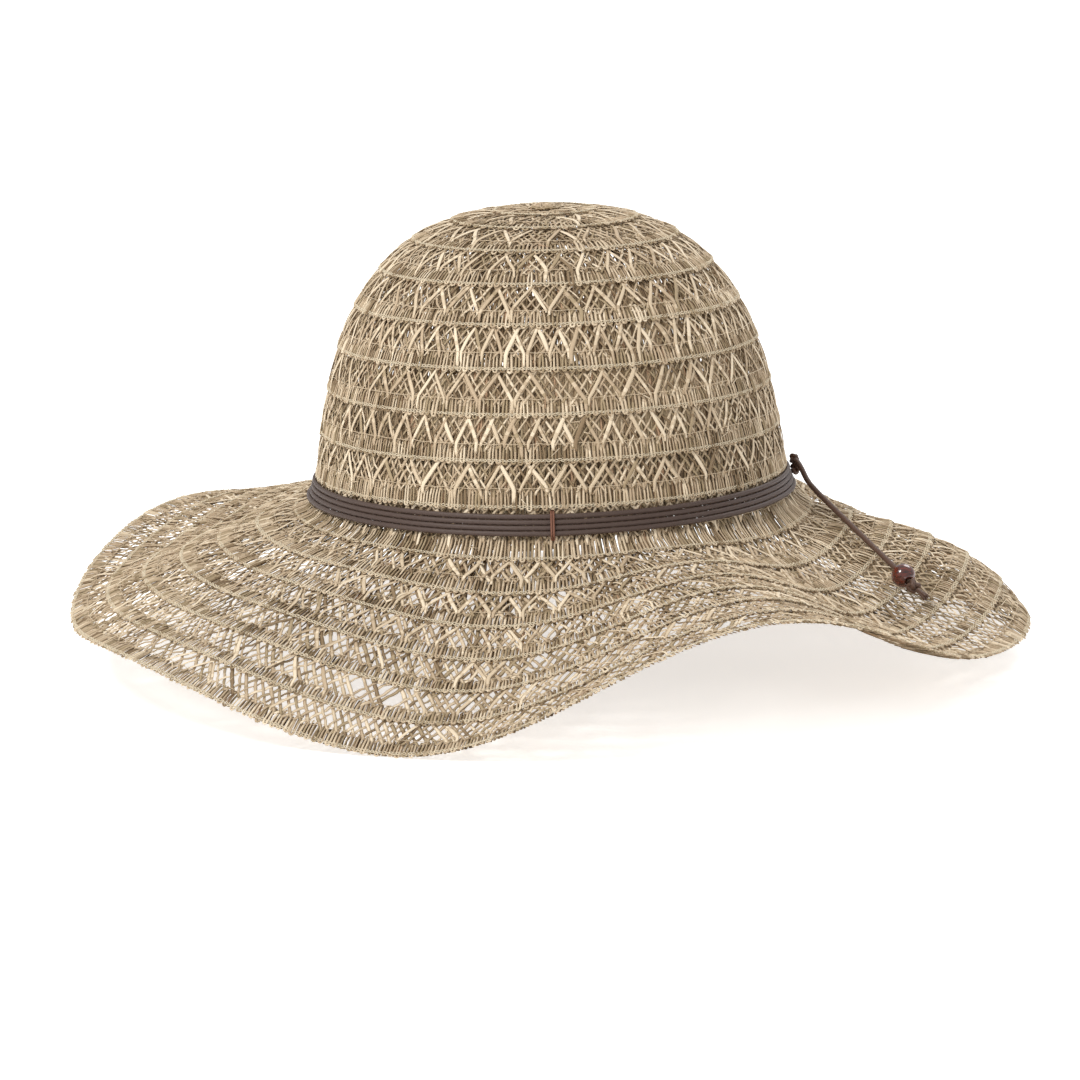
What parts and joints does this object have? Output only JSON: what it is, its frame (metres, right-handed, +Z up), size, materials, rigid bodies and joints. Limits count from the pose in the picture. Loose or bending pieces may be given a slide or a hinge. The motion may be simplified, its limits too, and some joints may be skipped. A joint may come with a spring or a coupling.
{
  "type": "straw sun hat",
  "caption": "Wide, wavy-brimmed sun hat of openwork straw braid with a rounded crown, a wound cord band and a loose cord end carrying a sliding wood bead.",
  "frame": {"origin": "on the surface the hat stands on, under the middle of the brim's bounding box", "axes": "+Z up; -Y is the hat's front; +X is the side that the loose cord end hangs on. The hat leans back a few degrees on its wavy brim, as it rests."},
  "size_m": [0.3731, 0.3772, 0.1741],
  "materials": {
    "straw": "matte dry seagrass braid",
    "seam_thread": "pale matte thread",
    "sweatband_fabric": "soft matte fabric",
    "band_cord": "waxed woven cord, slight sheen",
    "tie_thread": "reddish brown thread",
    "bead_wood": "polished dark wood"
  },
  "bodies": {
    "hat": {"crown_tip": "straw", "crown_braid_row_01": "straw", "crown_braid_row_02": "straw", "crown_braid_row_03": "straw", "crown_braid_row_04": "straw", "crown_braid_row_05": "straw", "crown_braid_row_06": "straw", "crown_braid_row_07": "straw", "crown_braid_row_08": "straw", "crown_braid_row_09": "straw", "crown_braid_row_10": "straw", "brim_braid_row_01": "straw", "brim_braid_row_02": "straw", "brim_braid_row_03": "straw", "brim_braid_row_04": "straw", "brim_braid_row_05": "straw", "brim_braid_row_06": "straw", "crown_seam_thread_01": "seam_thread", "crown_seam_thread_02": "seam_thread", "crown_seam_thread_03": "seam_thread", "crown_seam_thread_04": "seam_thread", "crown_seam_thread_05": "seam_thread", "crown_seam_thread_06": "seam_thread", "crown_seam_thread_07": "seam_thread", "crown_seam_thread_08": "seam_thread", "crown_seam_thread_09": "seam_thread", "brim_seam_thread_01": "seam_thread", "brim_seam_thread_02": "seam_thread", "brim_seam_thread_03": "seam_thread", "brim_seam_thread_04": "seam_thread", "brim_seam_thread_05": "seam_thread", "brim_seam_thread_06": "seam_thread", "brim_seam_thread_07": "seam_thread", "sweatband": "sweatband_fabric", "sweatband_stitching": "seam_thread", "band_cord_1": "band_cord", "band_cord_2": "band_cord", "band_cord_3": "band_cord", "band_cord_4": "band_cord", "band_front_tie": "tie_thread", "side_knot_upper": "band_cord", "side_knot_lower": "band_cord"},
    "tail": {"tail_cord": "band_cord", "tail_end_knot": "band_cord", "tail_cut_end": "band_cord"},
    "bead": {"wood_bead": "bead_wood"}
  },
  "joints": [
    {"name": "tail_lift", "type": "hinge", "parent": "hat", "child": "tail", "pos_m": [0.09821, 0.01447, 0.07052], "axis": [-0.8599, -0.5105, 0], "range_deg": [0, 70]},
    {"name": "bead_slide", "type": "slide", "parent": "tail", "child": "bead", "axis": [-0.4735, 0.7975, 0.3738], "range_m": [0, 0.012]}
  ]
}
